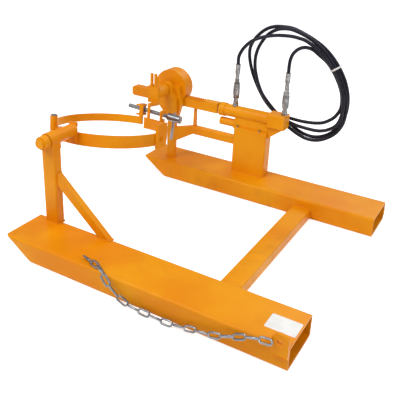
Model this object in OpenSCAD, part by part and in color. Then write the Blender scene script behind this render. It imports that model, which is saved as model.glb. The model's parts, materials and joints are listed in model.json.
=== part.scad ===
// Fork mounted hydraulic drum tilter.
// Two fork pockets carry a hinged drum ring; a rack under a pinion turns it.
// X runs from the noses to the open pocket ends, Y towards the drive side, Z up.

/* [Fork pockets] */
// Outer width of each fork pocket
pocket_width = 236; // [220:2:250]
// Outer height of each fork pocket
pocket_height = 104; // [96:2:112]
// Length of each fork pocket
pocket_length = 1400; // [1340:10:1460]
// Clear distance between the two pockets
pocket_gap = 880; // [870:5:900]
// Plate thickness of the pockets
pocket_wall = 8; // [6:1:10]
// Length by which the underside of the nose is cut back
nose_cut = 155; // [120:5:170]
// Width of the cross member along the pockets
cross_width = 100; // [80:5:120]
// Height of the cross member
cross_height = 60; // [50:2:70]

/* [Drum ring] */
// Bore of the closed ring, for the body of a 205 litre drum
ring_bore = 578; // [570:2:582]
// Thickness of the ring band
band_thickness = 6; // [5:0.5:8]
// Height of the fixed rear half
rear_band_height = 62; // [58:1:66]
// Height of the swinging front half
gate_band_height = 42; // [38:1:44]
// Drop of the ring's centre below the tilt axis
ring_drop = 61; // [57:1:65]
// Lean of the ring's plane, the drive side low
ring_lean = 9.3; // [8.5:0.1:10]
// Rise of the ring's plane towards the truck
ring_rise = 3; // [2:0.5:4]

/* [Pivot] */
// Height of the tilt axis above the floor
pivot_height = 525; // [522:1:528]
// Diameter of the trunnion shafts
shaft_diameter = 45; // [40:1:48]
// Size of the posts along the pockets
post_length = 75; // [70:1:80]
// Size of the posts across the pockets
post_width = 50; // [45:1:54]

/* [Drive] */
// Gear module of rack and pinion
gear_module = 4; // [3.5:0.5:4]
// Number of pinion teeth
pinion_teeth = 25; // [24:1:26]
// Width of the rack bar
rack_width = 46; // [40:1:48]
// Bore of the hydraulic cylinder
cylinder_bore = 52; // [46:1:54]
// Outside diameter of the cylinder barrel
barrel_diameter = 70; // [66:1:74]
// Diameter of the piston rod
rod_diameter = 30; // [26:1:32]
// Outside radius of the gear case
case_radius = 104; // [102:1:108]

/* [Clamp] */
// Diameter of the clamp screw
screw_diameter = 24; // [22:1:25]
// Part of the cross handle below the screw
handle_drop = 120; // [112:1:124]

/* [Hoses] */
// Outside diameter of the hydraulic hoses
hose_diameter = 19; // [16:0.5:21]
// Outside radius of the plain body that stands for the safety chain
chain_radius = 11; // [9:0.5:12]

/* [Hidden] */

$fn = 64;

// Running gap of a shaft in its bush, on the radius
running_gap = 0.05;
// Gap of a part that slides between flat faces
slide_gap = 0.4;
// Number of sides of the large ring curves
ring_sides = 180;
// Length of a cut that runs right through a part
through = 400;

// Main stations along X and across Y
pivot_x = -500;
nose_x = pivot_x - 100;
rear_x = nose_x + pocket_length;
inner_y = pocket_gap / 2;
outer_y = inner_y + pocket_width;
cross_set_back = 430;
cross_x = rear_x - cross_set_back;

// Posts, bearings and shafts
shaft_r = shaft_diameter / 2;
bush_wall = 5;
bearing_r = shaft_r + bush_wall + 9;
sleeve_r = shaft_r + 9;
post_x = pivot_x - post_length / 2;
post_rear_x = pivot_x + post_length / 2;
near_post_y = -inner_y - post_width + 12;
near_end_y = near_post_y - 50;
far_post_y = inner_y + 66;
far_post_x = pivot_x + 18;
far_post_length = 52;
far_post_depth = 34;
far_rear_x = far_post_x + far_post_length;
far_boss_r = shaft_r + 21.5;
far_post_top = pivot_height - far_boss_r - 8;
bracket_front_y = far_post_y + far_post_depth;
post_top = pivot_height - bearing_r - 6;
bearing_width = post_width + 4;

// Ring, drawn about its own centre with its top edge at height 0
ring_height = pivot_height - ring_drop;
ring_x = pivot_x - 6;
bore_r = ring_bore / 2;
ring_r = bore_r + band_thickness;
gate_top = -1;
gate_bottom = gate_top - gate_band_height;
near_split = 253.5;
far_split = 90;
split_half = 1.5;
hanger_thick = 14;
hanger_width = 42;
block_y = inner_y - 64;
block_thick = 20;
block_size = 68;
arm_x = 24;
arm_width = 16;
arm_z = 62;
arm_thick = 20;
steady_turn = 4;

// Gate hinge and clamp, about the ring's centre
hinge_x = -98;
hinge_y = -ring_r - 27;
hinge_pin_r = 10;
barrel_r = 18;
barrel_top = 66;
swivel_x = -28;
swivel_y = ring_r + 31;
swivel_r = 19;
lug_r = 22;
lug_thick = 8;
screw_r = screw_diameter / 2;
screw_z = 37;
screw_dip = 5.6;
screw_tip_x = -124;
bracket_x = 124;
bracket_thick = 12;
slot_z = screw_z - (bracket_x + bracket_thick / 2 - swivel_x) * tan(screw_dip);
hub_x = bracket_x + bracket_thick + 10;
hub_length = 82;
hub_r = 21;
handle_x = hub_x + 38;
handle_r = 8;

// Drive
drive_y = inner_y + 160;
pitch_r = gear_module * pinion_teeth / 2;
tooth_pitch = PI * gear_module;
rack_pitch_z = pivot_height - pitch_r;
rack_top = rack_pitch_z + gear_module;
rack_height = 59;
rack_bottom = rack_top - rack_height;
rack_lead = 286;
rack_tail = 310;
rack_front = pivot_x - rack_lead;
rack_rear = pivot_x + rack_tail;
rod_z = rack_bottom + rack_height / 2;
case_front_y = drive_y - 34;
case_back_y = drive_y + 34;
case_wall = 10;
rim_wall = 8;
cover_thick = 10;
pinion_width = 40;
backlash = 0.5;

// Cylinder
head_gap = 14;
head_length = 100;
barrel_reach = 306;
head_x = rack_rear + head_gap;
barrel_end_x = head_x + barrel_reach;
cap_length = 96;
cap_size = 82;
cyl_post_x = head_x + 106;
cyl_post_length = barrel_end_x - cyl_post_x;
cyl_post_width = 76;
saddle_z = rod_z - barrel_diameter / 2 - 54;
saddle_plate = 12;
stub_length = 100;
port_a_x = head_x + 90;
port_b_x = barrel_end_x + 80;
port_z = rod_z + barrel_diameter / 2;
fitting_top = port_z + 240;

// Tie bar under the rack
tie_drop = 164;
tie_bottom = rack_bottom - tie_drop;
tie_height = 48;
tie_width = 40;
tie_front_x = pivot_x + 150;

// Chain lugs
lug_x = rear_x - 34;
lug_z = pocket_height + 24;
far_lug_z = pocket_height / 2;
eye_r = 34;
eye_thick = 14;
eye_hole_r = 12;

// Hose routes, counted from the top of each hose's fitting
hose_r = hose_diameter / 2;
hose_a_route = [[0, 0, 0], [0, 0, 40], [12, 8, 76], [36, 16, 110], [68, 26, 138],
  [122, 40, 162], [188, 55, 177], [258, 65, 182], [284, 67, 181]];
hose_b_route = [[0, 0, 0], [0, 0, 40], [0, 6, 82], [4, 20, 122], [16, 40, 148],
  [36, 60, 162], [66, 76, 158], [100, 84, 136], [126, 84, 110]];
coil_center = [238, 86, 200];
coil_long = 310;
coil_short = 242;
coil_turn = -50;
coil_thick = 44;
coil_depth = 44;
tail_a_route = [[136, 76, -26], [108, 77, -23], [82, 79, -30], [57, 82, -52], [44, 85, -82],
  [42, 86, -115], [42, 86, -160]];
tail_b_route = [[122, 97, -22], [80, 96, -20], [45, 94, -28], [20, 92, -48], [6, 90, -75],
  [2, 90, -105], [2, 90, -160]];
coupling_length = 100;

// Chain route from the near lug to the loose end on the pocket
chain_route = [[744, -706, 126], [708, -702, 120], [668, -700, 110], [628, -700, 96],
  [586, -700, 79], [548, -700, 63], [508, -700, 49], [459, -700, 41], [406, -699, 31],
  [352, -698, 20], [300, -698, 13], [243, -698, 13], [180, -697, 13], [122, -696, 15],
  [76, -697, 30], [40, -698, 55], [8, -698, 82], [-16, -694, 106], [-42, -680, 122],
  [-75, -662, 120], [-108, -650, 116], [-140, -640, 116], [-172, -630, 116]];

// Pinion tooth outline
base_r = pitch_r * cos(20);
tip_r = pitch_r + gear_module;
root_r = pitch_r - 1.25 * gear_module;
function involute_angle(r) = let (a = acos(min(1, base_r / r))) tan(a) * 180 / PI - a;
half_tooth = 90 / pinion_teeth - backlash / 2 / pitch_r * 180 / PI + involute_angle(pitch_r);
function flank(r) = half_tooth - involute_angle(max(r, base_r));
flank_radii = [root_r, base_r + 0.3, pitch_r - 1, pitch_r + 1.5, tip_r];
function polar(r, a) = [r * cos(a), r * sin(a)];
function oval(a, b, n = 60) = [for (k = [0:n - 1]) [a * cos(360 * k / n), b * sin(360 * k / n)]];

// Helpers

module along_x(length) {
  rotate([90, 0, 90]) linear_extrude(length) children();
}

module along_y(length) {
  rotate([-90, 0, 0]) linear_extrude(length) mirror([0, 1]) children();
}

module rod_y(r, length) {
  rotate([-90, 0, 0]) cylinder(r = r, h = length);
}

module rod_x(r, length) {
  rotate([0, 90, 0]) cylinder(r = r, h = length);
}

module tube_y(outer_r, inner_r, length) {
  difference() {
    rod_y(outer_r, length);
    translate([0, -1, 0]) rod_y(inner_r, length + 2);
  }
}

module round_rect(w, h, r) {
  translate([r, 0]) square([w - 2 * r, h]);
  translate([0, r]) square([w, h - 2 * r]);
  for (x = [r, w - r], y = [r, h - r]) translate([x, y]) circle(r);
}

module hex_head(flats, height) {
  cylinder(d = flats / cos(30), h = height, $fn = 6);
}

// Places what is drawn about the ring's centre at the ring's lean
module in_ring() {
  translate([ring_x, 0, ring_height]) rotate([-ring_lean, -ring_rise, 0]) children();
}

module ring_core(r, z0 = -200, h = 400) {
  translate([0, 0, z0]) cylinder(r = r, h = h, $fn = ring_sides);
}

module band(z0, height, from_angle, to_angle) {
  translate([0, 0, z0]) rotate(from_angle)
    rotate_extrude(angle = to_angle - from_angle, $fn = ring_sides)
      translate([bore_r, 0]) square([band_thickness, height]);
}

// Frames carried along a route without twist
function unit(v) = v / norm(v);
function tangent(p, i) = unit(p[min(i + 1, len(p) - 1)] - p[max(i - 1, 0)]);
function side_of(t) = unit(cross(t, abs(t[1]) > 0.9 ? [1, 0, 0] : [0, 1, 0]));
function ring_at(p, i, r, n) = let (t = tangent(p, i), s = side_of(t), u = cross(t, s))
  [for (k = [0:n - 1]) p[i] + r * (cos(360 * k / n) * s + sin(360 * k / n) * u)];

module swept_tube(route, r, n = 10) {
  m = len(route);
  points = [for (i = [0:m - 1], q = ring_at(route, i, r, n)) q];
  walls = [for (i = [0:m - 2], k = [0:n - 1]) let (j = (k + 1) % n)
    [i * n + k, i * n + j, (i + 1) * n + j, (i + 1) * n + k]];
  start = [[for (k = [n - 1:-1:0]) k]];
  finish = [[for (k = [0:n - 1]) (m - 1) * n + k]];
  polyhedron(points, concat(walls, start, finish), convexity = 6);
}

// Frame weldment

module nose_wedge(y0, width, inset) {
  translate([0, y0, 0]) along_y(width)
    polygon([[nose_x - 2 + inset, pocket_height + 1], [nose_x + inset, pocket_height + 1],
      [nose_x + nose_cut + inset, -1], [nose_x - 2 + inset, -1]]);
}

module pocket_bore(y0) {
  translate([nose_x - 1, y0 + pocket_wall, pocket_wall]) along_x(pocket_length + 2)
    round_rect(pocket_width - 2 * pocket_wall, pocket_height - 2 * pocket_wall, 5);
}

module pocket(y0) {
  difference() {
    translate([nose_x, y0, 0]) along_x(pocket_length)
      round_rect(pocket_width, pocket_height, 12);
    pocket_bore(y0);
    nose_wedge(y0 - 1, pocket_width + 2, 0);
  }
}

// Sloping plate that closes the front of a pocket
module nose(y0) {
  intersection() {
    pocket_bore(y0);
    difference() {
      nose_wedge(y0, pocket_width, 12);
      nose_wedge(y0 - 1, pocket_width + 2, 0);
    }
  }
}

module near_pocket() { color("orange") pocket(-outer_y); }
module far_pocket() { color("orange") pocket(inner_y); }
module near_nose() { color("orange") nose(-outer_y); }
module far_nose() { color("orange") nose(inner_y); }

module cross_member() {
  color("orange") translate([cross_x, -inner_y, 0]) along_y(pocket_gap) difference() {
    round_rect(cross_width, cross_height, 8);
    translate([5, 5]) round_rect(cross_width - 10, cross_height - 10, 4);
  }
}

module hollow_post(x0, y0, sx, sy, z1, wall) {
  translate([x0, y0, pocket_height]) linear_extrude(z1 - pocket_height) difference() {
    round_rect(sx, sy, 7);
    translate([wall, wall]) round_rect(sx - 2 * wall, sy - 2 * wall, 3);
  }
}

module near_post() {
  color("orange") hollow_post(post_x, near_post_y, post_length, post_width, post_top, 5);
}

module far_post() {
  color("orange")
    hollow_post(far_post_x, far_post_y, far_post_length, far_post_depth, far_post_top, 5);
}

module near_brace() {
  color("orange") translate([0, near_post_y + 12, 0]) along_y(30)
    polygon([[post_rear_x, pocket_height + 265], [post_rear_x, pocket_height + 205],
      [post_rear_x + 240, pocket_height], [post_rear_x + 300, pocket_height]]);
}

// Round bearing on a post, its foot as wide as the post
module bearing(y0, width) {
  difference() {
    union() {
      translate([pivot_x, y0, pivot_height]) rod_y(bearing_r, width);
      translate([0, y0, 0]) along_y(width)
        polygon([[post_x, post_top], [post_rear_x, post_top],
          [pivot_x + bearing_r - 2, pivot_height - 6], [pivot_x - bearing_r + 2, pivot_height - 6]]);
    }
    translate([pivot_x, y0 - 1, pivot_height]) rod_y(shaft_r + bush_wall, width + 2);
  }
}

module bush(y0, width) {
  translate([pivot_x, y0, pivot_height])
    tube_y(shaft_r + bush_wall, shaft_r + running_gap, width);
}

module near_bearing() { color("orange") bearing(near_post_y - 2, bearing_width); }
module far_bearing() {
  color("orange") difference() {
    union() {
      translate([pivot_x, far_post_y, pivot_height]) rod_y(far_boss_r, far_post_depth);
      translate([0, far_post_y, 0]) along_y(far_post_depth)
        polygon([[far_post_x, far_post_top], [far_rear_x, far_post_top],
          [pivot_x + far_boss_r - 2, pivot_height - 8], [pivot_x - far_boss_r + 2, pivot_height - 8]]);
    }
    translate([pivot_x, far_post_y - 1, pivot_height])
      rod_y(shaft_r + bush_wall, far_post_depth + 2);
  }
}

module near_bush() { color("peru") bush(near_post_y - 2, bearing_width); }
module far_bush() { color("peru") bush(far_post_y, far_post_depth); }

// Tapered stay from the far post to the front end of the tie bar
module post_stay() {
  color("orange") difference() {
    translate([0, 0, tie_bottom - 40]) linear_extrude(tie_height + 40)
      polygon([[far_rear_x, far_post_y + 4], [far_rear_x, bracket_front_y - 4],
        [tie_front_x, drive_y + tie_width / 2], [tie_front_x, drive_y - tie_width / 2]]);
    translate([0, far_post_y - 1, 0]) along_y(200)
      polygon([[far_rear_x, tie_bottom - 41], [tie_front_x + 1, tie_bottom - 41],
        [tie_front_x + 1, tie_bottom]]);
  }
}

module tie_bar() {
  color("orange") translate([tie_front_x, drive_y - tie_width / 2, tie_bottom])
    along_x(cyl_post_x - tie_front_x) difference() {
      round_rect(tie_width, tie_height, 5);
      translate([4, 4]) round_rect(tie_width - 8, tie_height - 8, 2);
    }
}

// Upright plate on the tie bar that carries the rack behind the gear case
module rack_rest() {
  color("orange") translate([tie_front_x, drive_y, 0]) along_x(12)
    polygon([[-14, tie_bottom + tie_height], [14, tie_bottom + tie_height],
      [10, rack_bottom - slide_gap], [-10, rack_bottom - slide_gap]]);
}

// Gear case round the pinion

module case_bracket() {
  z0 = pivot_height - 175;
  z1 = pivot_height - 85;
  color("orange") difference() {
    translate([0, bracket_front_y, 0]) along_y(case_front_y - bracket_front_y)
      polygon([[pivot_x - 10, z0], [far_rear_x - 4, z0], [pivot_x + 92, z1],
        [pivot_x + 72, pivot_height + 20], [pivot_x - 72, pivot_height + 20], [pivot_x - 92, z1]]);
    translate([pivot_x, far_post_y, pivot_height]) rod_y(shaft_r + 6, through);
  }
}

module gear_case() {
  color("orange") difference() {
    translate([pivot_x, case_front_y, pivot_height])
      rotate([-90, 0, 0]) cylinder(r = case_radius, h = case_back_y - case_front_y, $fn = 120);
    translate([pivot_x, case_front_y + case_wall, pivot_height])
      rotate([-90, 0, 0]) cylinder(r = case_radius - rim_wall, h = 200, $fn = 120);
    translate([pivot_x, case_front_y - 1, pivot_height]) rod_y(shaft_r + 6, 100);
    translate([pivot_x - through / 2, drive_y - rack_width / 2 - slide_gap, rack_bottom - 20])
      cube([through, 100, rack_height + 21]);
  }
}

module case_cover() {
  color("orange") difference() {
    translate([pivot_x, case_back_y, pivot_height])
      rotate([-90, 0, 0]) cylinder(r = case_radius, h = cover_thick, $fn = 120);
    translate([pivot_x, case_back_y - 1, pivot_height]) rod_y(shaft_r + 6, 20);
  }
}

module case_bolts() {
  bolt_circle = case_radius - 16;
  color("silver") for (a = [-10:50:190])
    translate([pivot_x + bolt_circle * cos(a), case_back_y + cover_thick,
      pivot_height + bolt_circle * sin(a)]) rotate([-90, 0, 0]) hex_head(13, 6);
}

// Shoe under the rack, held on the back of the case bracket
module rack_shoe() {
  color("peru") translate([pivot_x - 66, case_front_y, rack_bottom - slide_gap - 14])
    cube([132, case_back_y - case_front_y, 14]);
}

// Cylinder, its post and the saddle with the stub under the cylinder head

module cylinder_post() {
  color("orange") {
    hollow_post(cyl_post_x, drive_y - cyl_post_width / 2, cyl_post_length, cyl_post_width,
      saddle_z - 10, 6);
    translate([cyl_post_x, drive_y - cyl_post_width / 2, saddle_z - 10])
      linear_extrude(10) round_rect(cyl_post_length, cyl_post_width, 7);
  }
}

module cylinder_saddle() {
  foot = cyl_post_width / 2;
  step_z = saddle_z + saddle_plate;
  color("orange") {
    difference() {
      translate([cyl_post_x - 4, drive_y, 0]) along_x(cyl_post_length + 4)
        polygon([[-foot, saddle_z], [foot, saddle_z], [foot, step_z], [24, step_z],
          [24, rod_z - 8], [-24, rod_z - 8], [-24, step_z], [-foot, step_z]]);
      translate([cyl_post_x - 40, drive_y, rod_z]) rod_x(barrel_diameter / 2, through);
    }
    translate([cyl_post_x - 2 - stub_length, drive_y, saddle_z + 18]) rod_x(23, stub_length);
  }
}

module saddle_bolts() {
  color("silver")
    for (x = [cyl_post_x + 20, cyl_post_x + cyl_post_length - 45], s = [-1, 1])
      translate([x, drive_y + s * 31, saddle_z + saddle_plate]) hex_head(11, 7);
}

module cylinder_barrel() {
  color("orange") translate([head_x + head_length, drive_y, rod_z]) difference() {
    rod_x(barrel_diameter / 2, barrel_end_x - head_x - head_length);
    translate([-1, 0, 0]) rod_x(cylinder_bore / 2, through);
  }
}

module cylinder_head() {
  color("orange") translate([head_x, drive_y, rod_z]) difference() {
    union() {
      rod_x(barrel_diameter / 2 + 4, 34);
      rod_x(barrel_diameter / 2, head_length);
    }
    translate([-1, 0, 0]) rod_x(rod_diameter / 2 + 4, head_length + 2);
  }
}

module head_seal() {
  color("dimgray") translate([head_x, drive_y, rod_z]) difference() {
    rod_x(rod_diameter / 2 + 4, 40);
    translate([-1, 0, 0]) rod_x(rod_diameter / 2 + running_gap, 60);
  }
}

module end_cap() {
  half = cap_size / 2;
  color("orange") {
    translate([barrel_end_x, 0, 0]) along_x(cap_length)
      translate([drive_y - half, rod_z - half]) round_rect(cap_size, cap_size, 10);
    translate([barrel_end_x, drive_y - 20, 0]) along_y(40)
      polygon([[0, saddle_z - 22], [0, rod_z - half + 1], [cap_length - 6, rod_z - half + 1]]);
  }
}

// Port boss and plain adapter under each hose fitting
module port_adapters() {
  color("silver") {
    translate([port_a_x, drive_y, 0]) difference() {
      translate([0, 0, port_z - 6]) cylinder(d = 34, h = 17);
      translate([-50, 0, rod_z]) rod_x(barrel_diameter / 2, 100);
    }
    translate([port_b_x, drive_y, rod_z + cap_size / 2])
      cylinder(d = 34, h = port_z + 11 - rod_z - cap_size / 2);
    for (x = [port_a_x, port_b_x]) translate([x, drive_y, port_z + 11]) {
      hex_head(27, 16);
      translate([0, 0, 16]) cylinder(d = 26, h = 20);
    }
  }
}

// Rack and rod

module rack() {
  half_pitch = tooth_pitch / 4 - backlash / 4;
  tooth_top = half_pitch - gear_module * tan(20);
  tooth_root = half_pitch + 1.25 * gear_module * tan(20);
  first = -5;
  last = 17;
  root_z = rack_pitch_z - 1.25 * gear_module;
  color("orange") translate([0, drive_y - rack_width / 2, 0]) along_y(rack_width) {
    difference() {
      translate([rack_front, rack_bottom]) round_rect(rack_rear - rack_front, rack_height, 16);
      translate([pivot_x + (first - 0.5) * tooth_pitch, root_z])
        square([(last - first + 1) * tooth_pitch, 30]);
    }
    translate([rack_rear - 16, rack_bottom]) square([16, rack_height]);
    for (i = [first:last]) translate([pivot_x + (i + 0.5) * tooth_pitch, 0])
      polygon([[-tooth_root, root_z - 0.5], [tooth_root, root_z - 0.5],
        [tooth_top, rack_top], [-tooth_top, rack_top]]);
  }
}

module piston_rod() {
  color("silver") translate([rack_rear, drive_y, rod_z])
    rod_x(rod_diameter / 2, barrel_end_x - rack_rear - 6);
}

module piston() {
  color("dimgray") translate([barrel_end_x - 36, drive_y, rod_z]) difference() {
    rod_x(cylinder_bore / 2 - running_gap, 30);
    translate([-1, 0, 0]) rod_x(rod_diameter / 2, 40);
  }
}

// Cradle: hangers, shafts, pinion and fixed rear band

module near_hanger() {
  x0 = pivot_x - ring_x - hanger_width / 2;
  color("orange") difference() {
    in_ring() difference() {
      translate([x0, -ring_r - hanger_thick, -50])
        cube([hanger_width, hanger_thick + 2, 98]);
      ring_core(ring_r);
    }
    translate([pivot_x, near_end_y, pivot_height]) rod_y(shaft_r, through);
  }
}

// Crooked arm that passes over the clamp screw to the shaft block
module far_hanger() {
  color("orange") {
    in_ring() difference() {
      translate([arm_x, 0, 0]) along_x(arm_width)
        polygon([[ring_r - 3, -60], [ring_r + 6, -60], [ring_r + 6, arm_z],
          [block_y + 8, arm_z], [block_y + 8, arm_z + arm_thick],
          [ring_r + 4, arm_z + arm_thick], [ring_r - 3, arm_z + 13]]);
      ring_core(ring_r);
    }
    translate([pivot_x - block_size / 2, block_y, 0]) along_x(block_size)
      polygon([[0, pivot_height - 47], [block_thick - 6, pivot_height - 52],
        [block_thick, pivot_height - 44], [block_thick, pivot_height + 47], [0, pivot_height + 47]]);
  }
}

// U bolt over the shaft block, its threaded legs up
module yoke_bolt() {
  color("orange") for (s = [-1, 1])
    translate([pivot_x + s * 13, block_y + block_thick / 2, pivot_height + 47]) {
      cylinder(r = 9, h = 74);
      hex_head(22, 11);
    }
}

module near_shaft() {
  sleeve_y = near_post_y + bearing_width;
  color("silver") translate([pivot_x, near_end_y, pivot_height])
    rod_y(shaft_r, -near_end_y - ring_r - 4);
  color("orange") difference() {
    translate([pivot_x, sleeve_y, pivot_height])
      tube_y(sleeve_r, shaft_r, -sleeve_y - ring_r + 20);
    in_ring() translate([-60, -ring_r - hanger_thick, -100]) cube([120, 100, 300]);
  }
}

module near_collar() {
  color("orange") translate([pivot_x, near_end_y + 12, pivot_height])
    tube_y(sleeve_r, shaft_r, 32);
}

module far_shaft() {
  y0 = block_y + block_thick;
  color("silver") translate([pivot_x, y0, pivot_height])
    rod_y(shaft_r, case_back_y + cover_thick + 6 - y0);
  color("orange") translate([pivot_x, y0, pivot_height])
    tube_y(sleeve_r, shaft_r, far_post_y - y0 - 4);
}

module pinion() {
  outline = [for (i = [0:pinion_teeth - 1]) let (a = -90 + 360 * i / pinion_teeth)
    each concat([for (r = flank_radii) polar(r, a - flank(r))],
      [for (k = [4:-1:0]) polar(flank_radii[k], a + flank(flank_radii[k]))])];
  color("silver") translate([pivot_x, drive_y - pinion_width / 2, pivot_height])
    along_y(pinion_width) difference() {
      polygon(outline);
      circle(shaft_r);
    }
}

module pinion_nut() {
  color("silver") translate([pivot_x, drive_y + pinion_width / 2, pivot_height])
    tube_y(shaft_r + 8, shaft_r, 10);
}

module rear_band() {
  color("orange") in_ring()
    band(-rear_band_height, rear_band_height, near_split - 360 + split_half, far_split - split_half);
}

// Flat plate bolted to the outside of the band
module steady_plate() {
  color("orange") in_ring() difference() {
    rotate(steady_turn) translate([ring_r - 2, -48, -76]) cube([12, 96, 120]);
    ring_core(ring_r);
  }
}

module steady_bolt() {
  color("orange") in_ring() rotate(steady_turn) translate([ring_r + 10, -6, -31]) rotate([0, 90, 0]) {
    cylinder(r = 15, h = 2.5);
    translate([0, 0, 2.5]) hex_head(19, 10);
  }
}

// Plate with an open slot for the clamp screw
module clamp_bracket() {
  y1 = ring_r + 9;
  slot_half = screw_r + 1.6;
  color("orange") in_ring() difference() {
    translate([bracket_x, 0, 0]) along_x(bracket_thick)
      polygon([[ring_r - 45, -58], [y1 - 14, -58], [y1, -44], [y1, 46], [y1 - 8, 56],
        [ring_r - 24, 56], [ring_r - 45, 30]]);
    translate([bracket_x - 1, ring_r - 15, slot_z - slot_half])
      cube([bracket_thick + 2, 100, 2 * slot_half]);
    ring_core(ring_r);
  }
}

module ear_outline() {
  difference() {
    union() {
      translate([hinge_x, hinge_y]) circle(barrel_r);
      polygon([[hinge_x - 8, hinge_y - 16], [-24, -ring_r - 16], [-24, -bore_r],
        [hinge_x + 26, -bore_r + 18], [hinge_x - 2, hinge_y + 17]]);
    }
    circle(bore_r + 1.5, $fn = ring_sides);
  }
}

// Fixed ears above and below the gate's knuckle, with the long barrel
module hinge_ears() {
  color("orange") in_ring() difference() {
    union() {
      difference() {
        linear_extrude(10) ear_outline();
        translate([pivot_x - ring_x - 34, -ring_r - 80, -1]) cube([100, 80 + band_thickness, 20]);
      }
      difference() {
        translate([0, 0, gate_bottom - 12]) linear_extrude(10) ear_outline();
        ring_core(ring_r);
      }
      translate([hinge_x, hinge_y, 0]) cylinder(r = barrel_r, h = barrel_top);
    }
    translate([hinge_x, hinge_y, -100]) cylinder(r = hinge_pin_r, h = 200);
  }
}

module hinge_pin() {
  z0 = gate_bottom - 14;
  color("silver") in_ring() translate([hinge_x, hinge_y, z0 - 6]) {
    translate([0, 0, 8]) cylinder(r = hinge_pin_r, h = barrel_top - z0 - 2);
    cylinder(r = 15, h = 8);
    translate([0, 0, barrel_top - z0 + 6]) cylinder(r = 15, h = 6);
  }
}

// Swinging front half

module gate_band() {
  color("orange") in_ring()
    band(gate_bottom, gate_band_height, far_split + split_half, near_split - split_half);
}

module gate_knuckle() {
  color("orange") in_ring() translate([0, 0, gate_bottom]) difference() {
    linear_extrude(gate_band_height) difference() {
      union() {
        translate([hinge_x, hinge_y]) circle(barrel_r - 1);
        polygon([[hinge_x - 15, hinge_y + 4], [hinge_x + 12, hinge_y + 10],
          [hinge_x + 8, hinge_y + 44], [hinge_x - 36, hinge_y + 66]]);
      }
      circle(ring_r, $fn = ring_sides);
    }
    translate([hinge_x, hinge_y, -1]) cylinder(r = hinge_pin_r + running_gap, h = 100);
  }
}

// Ears that hold the swivel nut, on a plate at the gate's end
module gate_lugs() {
  low = screw_z - 30;
  color("orange") in_ring() difference() {
    union() {
      translate([swivel_x - 2, 0, gate_bottom]) linear_extrude(screw_z + 30 - gate_bottom)
        translate([0, ring_r - 12]) square([22, 20]);
      for (z = [low, screw_z + 22]) translate([0, 0, z]) linear_extrude(lug_thick) {
        translate([swivel_x, swivel_y]) circle(lug_r);
        translate([swivel_x - lug_r, ring_r - 6]) square([2 * lug_r, 36]);
      }
    }
    translate([swivel_x, swivel_y, -50]) cylinder(r = 8 + running_gap, h = 200);
    ring_core(bore_r + band_thickness);
  }
}

// Frame of the clamp screw, which dips towards its handle
module on_screw() {
  in_ring() translate([swivel_x, swivel_y, screw_z]) rotate([0, screw_dip, 0])
    translate([-swivel_x, 0, 0]) children();
}

module swivel_nut() {
  color("silver") difference() {
    in_ring() translate([swivel_x, swivel_y, screw_z]) {
      translate([0, 0, -21.6]) cylinder(r = swivel_r, h = 43.2);
      translate([0, 0, -30]) cylinder(r = 8, h = 62);
    }
    on_screw() translate([swivel_x - 40, 0, 0]) rod_x(screw_r + running_gap, 80);
  }
}

module clamp_screw() {
  color("silver") on_screw() translate([screw_tip_x, 0, 0])
    rod_x(screw_r, hub_x + hub_length - screw_tip_x);
}

// Hub with the sliding cross bar dropped down
module screw_handle() {
  color("silver") on_screw() {
    translate([hub_x, 0, 0]) difference() {
      rod_x(hub_r, hub_length - 4);
      translate([-1, 0, 0]) rod_x(screw_r, hub_length + 2);
    }
    translate([handle_x, 0, 0]) {
      translate([0, 0, hub_r - 2]) cylinder(r = handle_r, h = 12);
      translate([0, 0, -handle_drop]) cylinder(r = handle_r, h = handle_drop - hub_r + 2);
    }
  }
}

// Chain eyes on the outer sides of the pockets
module chain_lugs() {
  color("orange") {
    translate([lug_x, -outer_y - eye_thick, lug_z]) chain_eye(66);
    translate([lug_x, outer_y, far_lug_z]) chain_eye(eye_r);
  }
}

module chain_eye(foot) {
  difference() {
    union() {
      rod_y(eye_r, eye_thick);
      translate([-eye_r, 0, -foot]) cube([2 * eye_r, eye_thick, foot]);
    }
    translate([0, -1, 0]) rod_y(eye_hole_r, eye_thick + 2);
  }
}

module safety_chain() {
  color("silver") swept_tube(chain_route, chain_radius, 8);
}

// Hoses

module hose_fittings() {
  color("silver") for (x = [port_a_x, port_b_x]) translate([x, drive_y, port_z + 47]) {
    hex_head(34, 20);
    translate([0, 0, 20]) cylinder(d = 38, h = 46);
    translate([0, 0, 66]) cylinder(d = 34, h = 20);
    translate([0, 0, 86]) hex_head(24, 22);
    translate([0, 0, 108]) cylinder(d = 22, h = 34);
    translate([0, 0, 142]) cylinder(d = 28, h = 51);
  }
}

module at_fitting(x) {
  translate([x, drive_y, fitting_top]) children();
}

module at_cylinder() {
  translate([0, drive_y, rod_z]) children();
}

module hose_a() { color("black") at_fitting(port_a_x) swept_tube(hose_a_route, hose_r); }
module hose_b() { color("black") at_fitting(port_b_x) swept_tube(hose_b_route, hose_r); }

// Plain body of the tied loops behind the cylinder
module hose_coil() {
  half = coil_thick / 2;
  color("black") at_cylinder() translate(coil_center) rotate([90, 0, 0]) rotate(coil_turn)
    linear_extrude(coil_depth, center = true) difference() {
      polygon(oval(coil_long + half, coil_short + half));
      polygon(oval(coil_long - half, coil_short - half));
    }
}

module hose_tails() {
  color("black") at_cylinder() {
    swept_tube(tail_a_route, hose_r);
    swept_tube(tail_b_route, hose_r);
  }
}

module hose_couplings() {
  color("silver") at_cylinder() for (p = [tail_a_route[6], tail_b_route[6]])
    translate(p - [0, 0, coupling_length]) {
      cylinder(d = 28, h = 36);
      translate([0, 0, 36]) hex_head(30, 24);
      translate([0, 0, 60]) cylinder(d = 24, h = 40);
    }
}

// Strap that ties the loops to the cylinder's end cap
module hose_clip() {
  color("orange") at_cylinder() translate([barrel_end_x + 6, cap_size / 2, -48])
    cube([30, coil_center[1] - coil_depth / 2 - cap_size / 2, 36]);
}

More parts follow.
